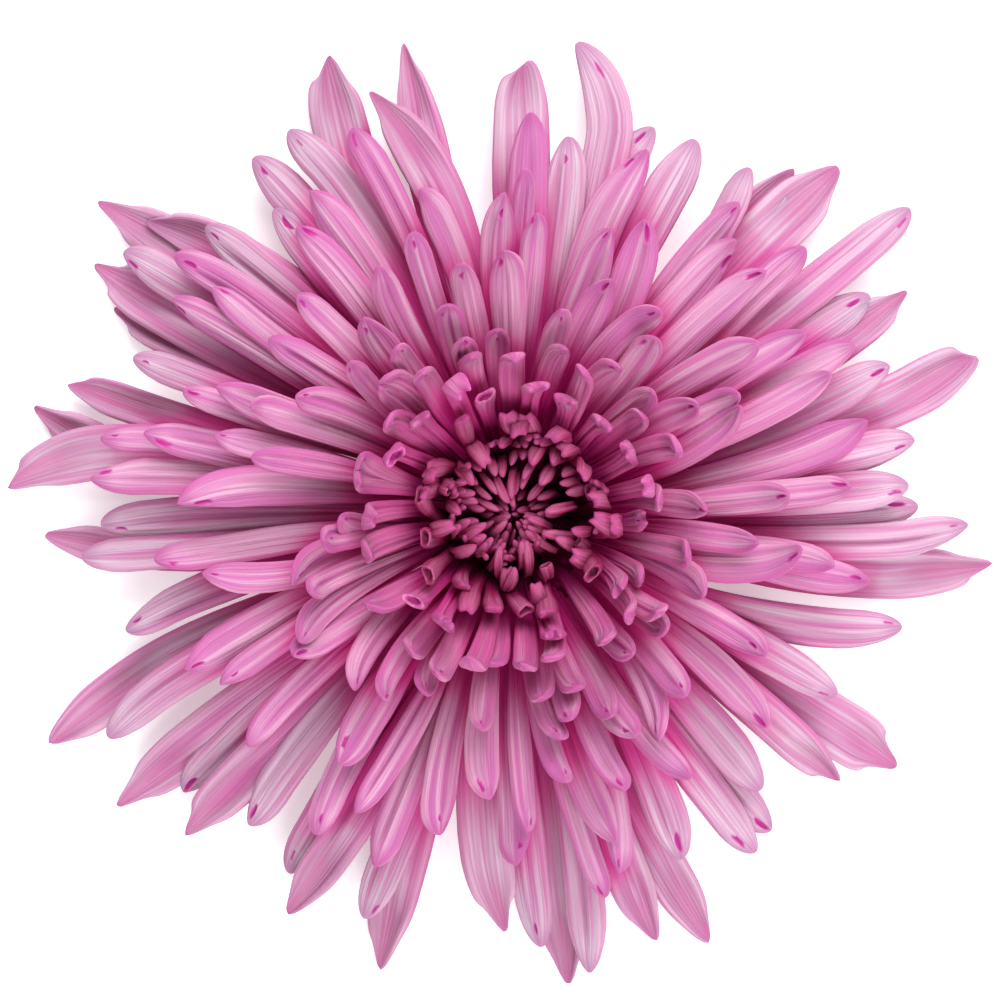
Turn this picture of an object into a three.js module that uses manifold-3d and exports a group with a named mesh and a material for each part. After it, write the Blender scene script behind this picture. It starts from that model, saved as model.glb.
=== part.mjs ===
// Spider chrysanthemum: one cut flower head, lying face up on its back.
//
// The head has three coloured bodies, each grown together and each one mesh:
//   stem_and_bracts   the green stub of the stem, the cup that it swells into and the overlapping bracts
//   ray_florets       the pink quilled florets on their ring of the receptacle, from the long drooping
//                     ones that make the outline to the short steep ones round the eye
//   centre_florets    the dark florets of the eye, which still curl in, on their own button
//
// Millimetres and degrees, +Z up. Z = 0 is the surface that the head lies on. The origin is at the middle
// of the florets' spread, and the stem stands a little to one side of it.
import * as THREE from "three";
import { mergeVertices } from "three/addons/utils/BufferGeometryUtils.js";
import Module from "manifold-3d";

const wasm = await Module();
wasm.setup();

// ---- Driving dimensions ----

const STEM_AXIS = new THREE.Vector2(2.1, -0.48);
const SEAT_GAP = 0.3; // between bodies that touch
const UP = new THREE.Vector3(0, 0, 1);
const PRESSED = 0.45; // how much of a floret is flattened where it lies on the surface
const BEND = { surface: 0.8, funnel: 0.3 }; // how softly a floret bends away from each
const ASIDE = { length: 12, share: 0.4 }; // of the end that bends to one side: at most this long, this share

// The outermost florets, anticlockwise: azimuth of the tip, reach from the axis, how far the floret swings
// sideways on its way out, and where they aren't the usual: its breadth, how far its end bends aside, and
// the length of its narrowing end over its breadth.
const OUTLINE_FLORETS = [
  [1.3, 50.7, 1.5], [4.3, 49.3, 1], [10.6, 51, 1, 4.8], [19.4, 60.9, 4.5, 6.6, 1, 1.2], [21.6, 50.4, 3],
  [29.6, 57, 4], [31.6, 52.5, 1], [37.7, 63, 1], [46.7, 60, -2.5, 7.2, 0, 1.3], [50.6, 56, -3],
  [55.7, 52.4, 4, 4], [64.1, 52.2, -1.5, 5.6], [70, 51.6, -2, 5.4, -2.5], [82.4, 59.8, 2, 5.6, 6.2],
  [81.7, 47.7, 2], [88.9, 56.6, 0.5, 7.1, 0, 0.95], [108.7, 56, 11, 6, 0, 1.8],
  [102.9, 60.9, -1.2, 6, 0, 2.2], [112.3, 62.1, -5.5, 6.6, 0, 1.25], [120.2, 55.7, 5, 4.8, 0.8],
  [126, 55.4, 4, 4.9], [128, 48.5, 2], [136.8, 52.5, 3], [141, 59, 10, 6],
  [143.1, 65.5, 4, 7.2, 0, 1.9], [146, 58.9, 2], [149.2, 61.5, 0, 6.6], [152.8, 56.6, 2, 5.4],
  [157.5, 51.2, 1.5, 4], [163.4, 58, -1.8, 5], [167.3, 61.9, -9, 5.8], [176.4, 63.4, 9, 6.6, 1.8],
  [181.3, 51.5, 2.5], [182.3, 59, -7], [185.6, 54.1, -1, 4.2], [196.6, 50.4, 6], [206.5, 64.8, 7, 5.7],
  [208.8, 57.9, 4, 4.8, 1.2], [216.4, 61.9, 1.5, 7, 0, 1.8], [220, 54, 2.5], [224, 57.2, 0, 6.2],
  [229.6, 50.8, 4, 4.6], [238, 53, 1], [240.3, 57.3, -4, 5.8], [249.8, 53.8, -1],
  [253.5, 59.5, 2.5, 6.4, 0, 1.7], [269.1, 51.9, 8.5, 7, 0, 1.6], [273.8, 54.2, 3, 5.2],
  [276.7, 59.5, -1, 6.6, 0, 1.6], [279.5, 58.2, -3, 5, 0, 1.7], [288.4, 56.3, 2, 5.4, 0, 1.7],
  [294.9, 59, 4, 6], [296, 47.6, -4, 5.2], [305.8, 51.9, 1], [309.2, 51, 2, 5.2], [312.1, 46, -2, 5],
  [320.6, 52.3, -2, 5.9], [326.8, 57.9, 0, 7.6, 0, 1.15], [331, 46, -1, 4.6], [344, 50.5, 9.5],
  [353.9, 60.38, 6, 7.3, 0, 1.8], [358.8, 57, 4.5, 5, 1, 1.7],
];
const QUILL_WIDTH = 5;

// The florets that lie over those: azimuth of the tip, reach, sideways swing, and breadth where it isn't
// the usual for that reach.
const MIDDLE_FLORETS = [
  [4.8, 41.5, 0], [4.5, 33.5, 1], [15, 45, 4, 4.8], [24, 42.5, 3], [26.5, 47, 0, 3.8], [32, 42, 0, 4.4],
  [35, 36.5, -7], [42.5, 49, 2], [44, 43, -2], [51, 43.5, -3, 4.8], [54.2, 47.5, -3, 3.6],
  [25.5, 30.5, 8, 4], [28, 31, -4], [31, 26, -5, 4], [41, 22.5, -6], [51.5, 27.5, 0, 4], [54, 30.5, -9],
  [66, 39.5, 4, 5], [71, 37, -5], [67.5, 31, -5, 4.2], [77, 25.5, -4, 3.6], [69.9, 48, -2.5, 5.4],
  [85.5, 36.8, 0, 3.4], [88, 42.5, -2, 3.4], [87.5, 50, 0, 5], [91.5, 39.5, -3], [92, 32, 0, 4.2],
  [94.5, 22.5, -3], [101.5, 31, 0, 3.9], [106, 41.5, 4], [109.5, 36.5, -2, 3.6], [107, 26.5, -4],
  [106, 22, 3], [118.5, 34.5, 0], [112.5, 52, 4, 3.8], [122, 47, 3], [127, 44, 1, 4.4], [127, 30, -2],
  [125, 24.5, 1], [134.5, 37.5, 0, 4], [136.5, 27, -3, 3], [134, 22.5, 4], [144, 36.8, 5],
  [143, 46.5, 0, 4], [142.5, 53, 2, 4.6], [147.5, 50, 1, 4], [151.5, 30, 7, 4.2], [157.5, 34.5, 6, 4.2],
  [156.5, 39.5, 4], [159.4, 43.2, 4, 3.4], [165, 37.8, 3, 3.2], [167.5, 32.5, 5, 3.2], [167.5, 46.5, 1],
  [169.5, 52, 3, 3.8], [175, 52.5, 3, 4.2], [178, 41, 6, 4.8], [187.2, 44.4, 3], [190.5, 38.5, -5, 3.6],
  [197, 28, 7, 4], [201, 26, 4, 3], [205, 44.5, 6, 4.6], [210, 41.5, 5, 3.4], [210.5, 30, 7, 3.8],
  [212.5, 31.5, -2], [221, 43, 4, 3.8], [227.5, 28.5, 9, 3.8], [235, 37, 5, 4.4], [234.5, 27, 4, 3],
  [238.5, 46, 4, 4.4], [242, 41, -4, 3.2], [244, 24, 3, 3.4], [248.5, 46.5, 0, 3.8], [257, 40, 4, 4.2],
  [261, 26, 4, 3.6], [265, 34.5, 3], [270.5, 42.8, 4, 4.2], [272.5, 38.5, 2, 3.2], [281, 32.8, 4, 3.4],
  [282, 27.5, 6, 3.6], [283.5, 48.5, 4, 3.6], [287.5, 42, 4, 4.3], [286.5, 45.8, -6, 4.2],
  [292, 36, 1, 3.4], [286, 25.5, -3], [296, 27, 4], [299, 30.5, 1, 3.6], [304, 38.5, 4, 3.6],
  [303, 32.5, -8, 3.8], [313.5, 30.2, -7], [320, 40.5, -5, 4.2], [331, 35, 0, 3.4], [337, 25, -7],
  [323.5, 23, -4, 3.4], [311, 22, 0, 3.4], [349.5, 44.5, -2, 4.6], [351, 39.5, 2, 4.2],
  [353.5, 35.2, 8, 4.8], [353.5, 29.8, -3, 3.6],
];

const ROOT_WIDTH = 0.36; // of a floret's greatest width, at its root
const WIDEST = 0.74; // share of its length where a floret is widest
const STALK = { width: 0.68, flareFrom: 0.62, flareTo: 0.9 }; // a young floret is a stalk that flares out
const NARROWING = { quill: 1.35, spoon: 1.5, young: 0.7 }; // the end that narrows, of the greatest width
const SPOON = { reach: 55.5, breadth: 5.7 }; // an outline floret that is longer or broader may be one
const TWIST_FROM = 0.3; // share of its length where a floret's twist is nil
// How the narrowing end closes, for a round tip and for a pointed one.
const ROUND_TIP = { rise: 2.1, root: 0.55 };
const POINTED_TIP = { rise: 1.5, root: 0.75, from: 1.25, to: 2.05 };

// Outlines below are [radius, height] pairs, upwards from the surface that the head lies on.
const STUB = { radius: 2.7, bottom: 0.7, top: 2.6, sides: 14 };
const CUP = { points: [[4.6, 3.6], [7.8, 5.6], [9.8, 8.4], [10.4, 12]], height: 12 };

// Rows of bracts: from and to are shares of the way up the cup, and turn is the azimuth of the first.
const BRACT_ROWS = [
  { count: 8, from: 0.08, to: 0.6, width: 5.4, turn: 0 },
  { count: 10, from: 0.34, to: 0.97, width: 5, turn: 13 },
];
const BRACT = {
  edge: 0.5,
  rootProud: 0.3,
  proud: 0.7,
  tipProud: 0.2,
  sunk: -0.8,
  rootShare: 0.6,
  widest: 0.55,
};

const RING = {
  bottom: CUP.height + SEAT_GAP,
  foot: 11.4,
  points: [[12.6, 13.9], [11, 16.4], [7.8, 17.4]],
  dish: 6.4,
  dishFloor: 16.4,
  sides: 18,
};
const BUTTON = {
  bottom: RING.dishFloor + SEAT_GAP,
  radius: 5.9,
  points: [[5.4, 17.4]],
  top: 18.6,
  sides: 14,
};
const OUTLINE_ROOT = { radius: 9.5, height: 13.8 };
const RISEN_ROOTS = { from: { radius: 9.5, height: 14.3 }, to: { radius: 7.2, height: 15.7 } };

// The eye widens upward to its full radius, inside the ray florets. Each side keeps clear of this funnel.
const FUNNEL = { bottom: RING.dishFloor, radius: 6.3, spread: 0.5, full: 14.2 };

// The reach of a ray floret that lies open, and of one that is still closed and stands up.
const CLOSING = { open: 52, shut: 12.5 };
const FLARING = { from: 0.84, to: 0.93 }; // how closed a ray floret is where its end starts to flare
const INNER = { count: 46, reach: { from: 22, to: 14.5 }, firstDraw: 200 };
const EYE = {
  count: 90,
  rootRadius: 5.6,
  collar: { from: 0.66, to: 0.96 }, // shares of the root radius between which florets stop curling in
  curl: { from: 0.1, to: 0.55 }, // and between which they curl in more and more
};
const GOLDEN_ANGLE = 137.508;

// Where along a floret its sections are, as shares of its length.
const OUTLINE_STATIONS = [0, 0.4, 0.725, 0.875, 0.95];
const MIDDLE_STATIONS = [0, 0.45, 0.8, 0.925];
const INNER_STATIONS = [0, 0.55, 0.9];
const EYE_STATIONS = [0, 0.5, 0.875];
const STEPS = 40; // of the sum along a centreline

// ---- Small helpers ----

const radians = (degrees) => (degrees * Math.PI) / 180;
const mix = (from, to, share) => from + (to - from) * share;
const smooth = (value, from, to) => THREE.MathUtils.smoothstep(value, from, to);
const shareOf = (value, from, to) => THREE.MathUtils.clamp((value - from) / (to - from), 0, 1);

// The same number from 0 to 1 each run, for this floret and this use.
function draw(index, use) {
  const x = Math.sin(index * 12.9898 + use * 78.233) * 43758.5453;
  return x - Math.floor(x);
}
const spread = (index, use, size) => (2 * draw(index, use) - 1) * size;

// ---- Solids ----

// A closed surface over rings of points, with a flat cap at the first ring and a point at the end.
function loft(rings, tip) {
  const sides = rings[0].length;
  const faces = [];
  for (let k = 1; k + 1 < sides; k++) faces.push(0, k + 1, k);
  for (let i = 0; i + 1 < rings.length; i++) {
    for (let k = 0; k < sides; k++) {
      const a = i * sides + k;
      const b = i * sides + ((k + 1) % sides);
      faces.push(a, b, b + sides, a, b + sides, a + sides);
    }
  }
  const last = (rings.length - 1) * sides;
  const end = rings.length * sides;
  for (let k = 0; k < sides; k++) faces.push(last + k, last + ((k + 1) % sides), end);
  return new THREE.BufferGeometry().setFromPoints([...rings.flat(), tip]).setIndex(faces);
}

function solidFrom(geometry) {
  const bare = new THREE.BufferGeometry();
  bare.setAttribute("position", geometry.getAttribute("position"));
  bare.setIndex(geometry.getIndex());
  const merged = mergeVertices(bare, 1e-3);
  return new wasm.Manifold(
    new wasm.Mesh({
      numProp: 3,
      vertProperties: merged.attributes.position.array,
      triVerts: new Uint32Array(merged.index.array),
    }),
  );
}

// A profile of [radius, height] pairs turned about the stem's axis.
function turned(profile, sides) {
  const points = profile.map(([radius, height]) => new THREE.Vector2(radius, height));
  return solidFrom(new THREE.LatheGeometry(points, sides).rotateX(Math.PI / 2));
}

// Joins solids into one body: hollows that this seals are filled, and loose scraps dropped.
function fuse(solids) {
  const bodies = solids.reduce((whole, next) => whole.add(next)).decompose();
  return bodies.reduce((best, next) => (next.volume() > best.volume() ? next : best));
}

function meshOf(name, solid, colour, roughness) {
  const { vertProperties, triVerts } = solid.getMesh();
  const geometry = new THREE.BufferGeometry();
  geometry.setAttribute("position", new THREE.BufferAttribute(vertProperties, 3));
  geometry.setIndex(new THREE.BufferAttribute(triVerts, 1));
  geometry.computeVertexNormals();
  const material = new THREE.MeshStandardMaterial({ color: colour, roughness, metalness: 0 });
  const mesh = new THREE.Mesh(geometry, material);
  mesh.name = name;
  return mesh;
}

// ---- Florets ----

// The line along the middle of a floret, as points. Its slope goes from rise at the root to fall at the
// tip, and from share hookStart of its length on it also curls up by hook degrees.
function centreline(floret) {
  const slopeAt = (u) =>
    radians(mix(floret.rise, floret.fall, u) + floret.hook * smooth(u, floret.hookStart, 1));
  let out = 0;
  let up = 0;
  const steps = [{ out, up }];
  for (let i = 0; i < STEPS; i++) {
    const slope = slopeAt((i + 0.5) / STEPS);
    out += Math.cos(slope) / STEPS;
    up += Math.sin(slope) / STEPS;
    steps.push({ out, up });
  }
  const length = floret.length ?? (floret.reach - floret.rootRadius) / out;
  return { length, steps };
}

// How wide a floret is at share u of its length, as a share of its greatest width: narrow at the root,
// widest past the middle, and closing to a round or pointed tip.
function widthAt(floret, length, u) {
  const usual = mix(ROOT_WIDTH, 1, smooth(u, 0, WIDEST));
  const flared = mix(STALK.width, 1, smooth(u, STALK.flareFrom, STALK.flareTo));
  const body = mix(usual, flared, floret.flare ?? 0);
  const past = Math.max(0, 1 - ((1 - u) * length) / floret.tipLength);
  const rise = mix(ROUND_TIP.rise, POINTED_TIP.rise, floret.pointed ?? 0);
  const root = mix(ROUND_TIP.root, POINTED_TIP.root, floret.pointed ?? 0);
  return body * (1 - past ** rise) ** root;
}

// The larger of value and limit, and the smaller of them, with a rounded turn between the two.
const softMax = (value, limit, softness) =>
  limit + softness * Math.log1p(Math.exp((value - limit) / softness));
const softMin = (value, limit, softness) => -softMax(-value, -limit, softness);

// Where the middle line of a floret of this thickness lies once its neighbours have bent it: off the
// surface, apart from the sliver that it is pressed flat by, and on its own side of the funnel.
function bentClear(floret, radius, height, thickness) {
  const bentHeight = softMax(height, thickness / 2 - PRESSED, BEND.surface);
  const wall = Math.min(FUNNEL.radius + FUNNEL.spread * (bentHeight - FUNNEL.bottom), FUNNEL.full);
  const clear = thickness / 2 + SEAT_GAP;
  const bentRadius = floret.inEye
    ? softMin(radius, wall - clear, BEND.funnel)
    : softMax(radius, wall + clear, BEND.funnel);
  return { bentRadius, bentHeight };
}

// The middle line of a floret as it lies, one point for each step of its centreline.
function lyingLine(floret, length, steps) {
  const bendFrom = 1 - Math.min(ASIDE.length / length, ASIDE.share);
  return steps.map(({ out, up }, i) => {
    const u = i / STEPS;
    const { bentRadius, bentHeight } = bentClear(
      floret,
      floret.rootRadius + out * length,
      floret.rootHeight + up * length,
      floret.thickness * widthAt(floret, length, u),
    );
    const aside = floret.bend * Math.max(0, (u - bendFrom) / (1 - bendFrom)) ** 2;
    const azimuth = radians(floret.azimuth - floret.swing * (1 - u * u));
    return new THREE.Vector3(bentRadius, aside, bentHeight).applyAxisAngle(UP, azimuth);
  });
}

// A flattened quill: four-sided sections swept along the line that it lies in.
function floretSolid(floret, stations) {
  const { length, steps } = centreline(floret);
  const line = lyingLine(floret, length, steps);
  const rings = stations.map((u) => {
    const i = Math.round(u * STEPS);
    const along = line[Math.min(i + 1, STEPS)].clone().sub(line[Math.max(i - 1, 0)]).normalize();
    const azimuth = radians(floret.azimuth - floret.swing * (1 - u * u));
    const side = new THREE.Vector3(0, 1, 0).applyAxisAngle(UP, azimuth).projectOnPlane(along).normalize();
    const top = along.clone().cross(side);
    const share = widthAt(floret, length, u);
    const roll = radians(floret.roll + floret.twist * (u - TWIST_FROM));
    return [0, 1, 2, 3].map((corner) => {
      const angle = (corner * Math.PI) / 2;
      const across = (Math.cos(angle) * floret.width * share) / 2;
      const above = (Math.sin(angle) * floret.thickness * share) / 2;
      return line[i]
        .clone()
        .addScaledVector(side, across * Math.cos(roll) - above * Math.sin(roll))
        .addScaledVector(top, across * Math.sin(roll) + above * Math.cos(roll));
    });
  });
  return solidFrom(loft(rings, line[STEPS]));
}

function outlineFlorets() {
  return OUTLINE_FLORETS.map((given, i) => {
    const [azimuth, reach, swing, breadth = QUILL_WIDTH, bend = 0] = given;
    const isSpoon = (reach > SPOON.reach && i % 3 !== 1) || breadth >= SPOON.breadth;
    const taper = given[5] ?? (isSpoon ? NARROWING.spoon : NARROWING.quill);
    const lift = mix(-7, -16, smooth(reach, 46, 62)) + [-3, 3, 0][i % 3];
    const width = breadth + spread(i, 1, 0.2);
    return {
      // The end that bends aside carries the tip to its azimuth and reach.
      azimuth: azimuth - THREE.MathUtils.radToDeg(Math.asin(bend / reach)),
      reach: Math.sqrt(reach ** 2 - bend ** 2),
      bend,
      swing,
      rootRadius: OUTLINE_ROOT.radius,
      rootHeight: OUTLINE_ROOT.height,
      rise: lift + 11,
      fall: lift - 11,
      hook: 14,
      hookStart: 0.87,
      width,
      thickness: 2.1,
      tipLength: width * taper,
      pointed: shareOf(taper, POINTED_TIP.from, POINTED_TIP.to),
      roll: spread(i, 2, 12),
      twist: spread(i, 12, 24),
    };
  });
}

// A floret over the outline ones: the shorter it is, the steeper it stands and the more its tip curls.
function risenFloret(i, azimuth, reach, swing, breadth) {
  const closed = shareOf(reach, CLOSING.open, CLOSING.shut);
  const lift = mix(-3, 66, closed ** 1.1) + spread(i, 3, mix(4, 2.5, closed));
  const arch = mix(12, 5, closed);
  const width = (breadth ?? mix(4.6, 3, closed ** 1.2)) * (1 + spread(i, 7, 0.08));
  const flare = smooth(closed, FLARING.from, FLARING.to);
  return {
    azimuth,
    reach,
    bend: 0,
    swing,
    rootRadius: mix(RISEN_ROOTS.from.radius, RISEN_ROOTS.to.radius, closed),
    rootHeight: mix(RISEN_ROOTS.from.height, RISEN_ROOTS.to.height, closed),
    rise: lift + arch,
    fall: lift - arch,
    hook: mix(28, 52, closed) + spread(i, 42, mix(8, 26, flare)),
    hookStart: mix(0.86, 0.62, closed),
    width,
    thickness: mix(2.1, 1.5, closed),
    flare,
    tipLength: width * mix(NARROWING.quill, NARROWING.young, flare),
    roll: spread(i, 8, 14),
    twist: spread(i, 18, 30),
  };
}

const middleFlorets = () => MIDDLE_FLORETS.map((given, i) => risenFloret(i, ...given));

function innerFlorets() {
  return Array.from({ length: INNER.count }, (_, k) => {
    const i = k + INNER.firstDraw; // its own draws, apart from those of the middle florets
    const reach = mix(INNER.reach.from, INNER.reach.to, k / INNER.count) + spread(i, 5, 1.8);
    return risenFloret(i, k * GOLDEN_ANGLE + spread(i, 4, 4), reach, spread(i, 6, 8));
  });
}

function eyeFlorets() {
  return Array.from({ length: EYE.count }, (_, i) => {
    const age = (i + 0.5) / EYE.count; // 0 on the outside, 1 at the very middle
    const out = Math.sqrt(1 - age);
    const collar = smooth(out, EYE.collar.from, EYE.collar.to);
    const width = mix(0.85, 1.25, out) + 1.6 * collar;
    const curl = mix(40, 104, smooth(out, EYE.curl.from, EYE.curl.to));
    return {
      azimuth: i * GOLDEN_ANGLE + spread(i, 31, 12),
      length: mix(6, 14.5, out) + 2.5 * collar + spread(i, 9, 2.4),
      bend: 0,
      swing: spread(i, 10, 18),
      rootRadius: EYE.rootRadius * out,
      rootHeight: mix(18, 17.2, out),
      rise: mix(80, 42, out) + spread(i, 11, 5),
      fall: mix(85, 62, out),
      hook: mix(curl, 55, collar) + spread(i, 32, mix(20, 34, collar)),
      hookStart: mix(0.35, 0.6, collar),
      width: width * (1 + spread(i, 33, 0.15)),
      thickness: mix(0.8, 1.05, out) + 0.7 * collar,
      flare: mix(0.6, 1, collar),
      tipLength: width * mix(1.4, 0.6, collar),
      roll: spread(i, 34, 20),
      twist: 0,
      inEye: true,
    };
  });
}

// ---- The three bodies ----

function stemAndBracts() {
  const cupPoints = [[STUB.radius, STUB.top], ...CUP.points];
  const cupLine = new THREE.SplineCurve(cupPoints.map(([r, z]) => new THREE.Vector2(r, z)));
  const outside = cupLine.getPoints(6).map((point) => [point.x, point.y]);
  const stub = [[0, STUB.bottom], [STUB.radius, STUB.bottom]];
  const body = turned([...stub, ...outside, [0, CUP.height]], STUB.sides);
  const bracts = BRACT_ROWS.flatMap((row) =>
    Array.from({ length: row.count }, (_, i) => {
      const azimuth = radians(row.turn + (i * 360) / row.count);
      const outward = new THREE.Vector3(Math.cos(azimuth), Math.sin(azimuth), 0);
      const side = new THREE.Vector3(-Math.sin(azimuth), Math.cos(azimuth), 0);
      // A point at share along the bract, across of its half width aside and proud of the cup.
      const pointAt = (share, across, proud) => {
        const at = cupLine.getPointAt(mix(row.from, row.to, share));
        const along = cupLine.getTangentAt(mix(row.from, row.to, share));
        return outward
          .clone()
          .multiplyScalar(at.x + along.y * proud)
          .addScaledVector(side, (across * row.width) / 2)
          .setZ(at.y - along.x * proud);
      };
      const ringAt = (share, half, proud) => [
        pointAt(share, -half, proud - BRACT.edge),
        pointAt(share, 0, proud),
        pointAt(share, half, proud - BRACT.edge),
        pointAt(share, 0, BRACT.sunk),
      ];
      const rings = [ringAt(0, BRACT.rootShare, BRACT.rootProud), ringAt(BRACT.widest, 1, BRACT.proud)];
      return solidFrom(loft(rings, pointAt(1, 0, BRACT.tipProud)));
    }),
  );
  return fuse([body, ...bracts]);
}

function rayFlorets() {
  const foot = [[0, RING.bottom], [RING.foot, RING.bottom]];
  const dish = [[RING.dish, RING.dishFloor], [0, RING.dishFloor]];
  const ring = turned([...foot, ...RING.points, ...dish], RING.sides);
  const florets = [
    ...outlineFlorets().map((floret) => floretSolid(floret, OUTLINE_STATIONS)),
    ...middleFlorets().map((floret) => floretSolid(floret, MIDDLE_STATIONS)),
    ...innerFlorets().map((floret) => floretSolid(floret, INNER_STATIONS)),
  ];
  return fuse([ring, ...florets]).trimByPlane([0, 0, 1], 0);
}

function centreFlorets() {
  const foot = [[0, BUTTON.bottom], [BUTTON.radius, BUTTON.bottom]];
  const button = turned([...foot, ...BUTTON.points, [0, BUTTON.top]], BUTTON.sides);
  return fuse([button, ...eyeFlorets().map((floret) => floretSolid(floret, EYE_STATIONS))]);
}

const head = new THREE.Group();
head.position.set(STEM_AXIS.x, STEM_AXIS.y, 0);
head.add(meshOf("stem_and_bracts", stemAndBracts(), 0x8fa564, 0.6));
head.add(meshOf("ray_florets", rayFlorets(), 0xdb8cbe, 0.55));
head.add(meshOf("centre_florets", centreFlorets(), 0x9c2563, 0.55));

export default head;
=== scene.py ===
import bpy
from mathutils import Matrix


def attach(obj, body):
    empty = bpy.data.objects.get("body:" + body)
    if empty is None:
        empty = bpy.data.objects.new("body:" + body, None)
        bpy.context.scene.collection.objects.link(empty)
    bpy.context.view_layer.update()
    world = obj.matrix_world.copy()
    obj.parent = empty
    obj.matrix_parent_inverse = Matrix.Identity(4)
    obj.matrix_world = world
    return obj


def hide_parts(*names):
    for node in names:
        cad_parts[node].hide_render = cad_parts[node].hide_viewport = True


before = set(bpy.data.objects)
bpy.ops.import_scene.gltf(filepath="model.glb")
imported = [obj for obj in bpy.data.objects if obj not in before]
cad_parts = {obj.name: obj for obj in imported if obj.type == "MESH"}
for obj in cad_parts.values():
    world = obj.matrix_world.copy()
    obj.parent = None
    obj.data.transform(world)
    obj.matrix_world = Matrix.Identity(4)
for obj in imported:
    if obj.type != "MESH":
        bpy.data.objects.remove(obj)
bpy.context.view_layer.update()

import math

import bpy
import numpy as np
from mathutils import Vector

# Lengths in the dictionaries are millimetres and angles are degrees.
mm = 0.001
goldenAngle = 137.508

head = {
    "stemAxis": (2.1, -0.48),  # where the stem stands, from the origin
    "funnel": {"bottom": 16.4, "radius": 6.3, "spread": 0.5, "full": 14.2},  # between eye and ray florets
    "clear": 0.3,  # kept by the florets on each side of the funnel
}


# Small helpers

def mix(low, high, share):
    return low + (high - low) * share


def smooth(value, low, high):
    share = np.clip((value - low) / (high - low), 0, 1)
    return share * share * (3 - 2 * share)


def bell(value, middle, halfWidth):
    return np.exp(-(((value - middle) / halfWidth) ** 2))


def draw(index, use):  # the same number from 0 to 1 each run, for this floret and this use
    x = math.sin(index * 12.9898 + use * 78.233) * 43758.5453
    return x - math.floor(x)


def spread(index, use, size):
    return (2 * draw(index, use) - 1) * size


def softMax(value, limit, softness):  # the larger of the two, with a round turn between them
    return limit + softness * np.logaddexp(0, (value - limit) / softness)


def softMin(value, limit, softness):
    return -softMax(-value, -limit, softness)


def unit(vectors):
    return vectors / np.linalg.norm(vectors, axis=1)[:, None]


# Node helpers

def feed(tree, node, values):  # with values, and with what comes out of other nodes
    for name, value in values.items():
        socket = node.inputs[name]
        if isinstance(value, bpy.types.NodeSocket):
            tree.links.new(value, socket)
        else:
            socket.default_value = (*value, 1) if socket.type == "RGBA" else value


def addNode(tree, kind, values, **settings):
    node = tree.nodes.new("ShaderNode" + kind)
    for name, value in settings.items():
        setattr(node, name, value)
    feed(tree, node, values)
    return node.outputs


def mathNode(tree, operation, *values, clamp=False):
    return addNode(tree, "Math", dict(enumerate(values)), operation=operation, use_clamp=clamp)[0]


def times(tree, first, second, clamp=False):
    return mathNode(tree, "MULTIPLY", first, second, clamp=clamp)


def plus(tree, first, second):
    return mathNode(tree, "ADD", first, second)


def awayFrom(tree, value, middle):  # on either side
    return mathNode(tree, "ABSOLUTE", mathNode(tree, "SUBTRACT", value, middle))


def smoothNode(tree, value, low, high, toLow=0.0, toHigh=1.0):
    values = {"Value": value, "From Min": low, "From Max": high, "To Min": toLow, "To Max": toHigh}
    return addNode(tree, "MapRange", values, interpolation_type="SMOOTHSTEP")["Result"]


def mixColours(tree, factor, first, second):
    return addNode(tree, "Mix", {0: factor, 6: first, 7: second}, data_type="RGBA")[2]


def newGroup(name, inputs, outputs):  # a colour starts as a tuple, and anything else as a number
    tree = bpy.data.node_groups.new(name, "ShaderNodeTree")
    for direction, sockets in (("INPUT", inputs), ("OUTPUT", outputs)):
        for socketName, value in sockets.items():
            kind = "NodeSocketColor" if isinstance(value, tuple) else "NodeSocketFloat"
            socket = tree.interface.new_socket(name=socketName, in_out=direction, socket_type=kind)
            socket.default_value = value
    return tree, tree.nodes.new("NodeGroupInput").outputs, tree.nodes.new("NodeGroupOutput")


def newMaterial(name):
    material = bpy.data.materials.new(name)
    material.use_nodes = True
    tree = material.node_tree
    return material, tree, tree.nodes["Principled BSDF"]


def mapParts(tree, layer):
    return addNode(tree, "SeparateXYZ", {0: addNode(tree, "UVMap", {}, uv_map=layer)[0]})


def stretchedNoise(tree, across, up, scales, detail, roughness, seed=0.0):
    place = {0: times(tree, across, scales[0]), 1: times(tree, up, scales[1]), 2: seed}
    values = {"Scale": 1.0, "Detail": detail, "Roughness": roughness}
    return addNode(tree, "TexNoise", {"Vector": addNode(tree, "CombineXYZ", place)[0], **values})["Fac"]


def relief(tree, height, strength, depth):
    return addNode(tree, "Bump", {"Height": height, "Strength": strength, "Distance": depth * mm})["Normal"]


# Shared effects

veinShape = {
    # Each noise has its scales round and along the petal, its detail and its roughness.
    "fold": ((7.5, 1.1), 1.0, 0.5),
    "streak": ((26.0, 2.2), 2.0, 0.6),
    "seedScale": 61.0,
    "count": 22.0,  # veins round the petal
    "wander": 3.0,  # how far the folds push the veins aside
    # Between which heights each comes to show.
    "shows": {"Vein": (0.2, 1.0), "Fold": (0.36, 0.64), "Streak": (0.3, 0.7)},
    "relief": (0.3, 1.2),  # of the veins and of the streaks
    "depth": 0.2,
}


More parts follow.
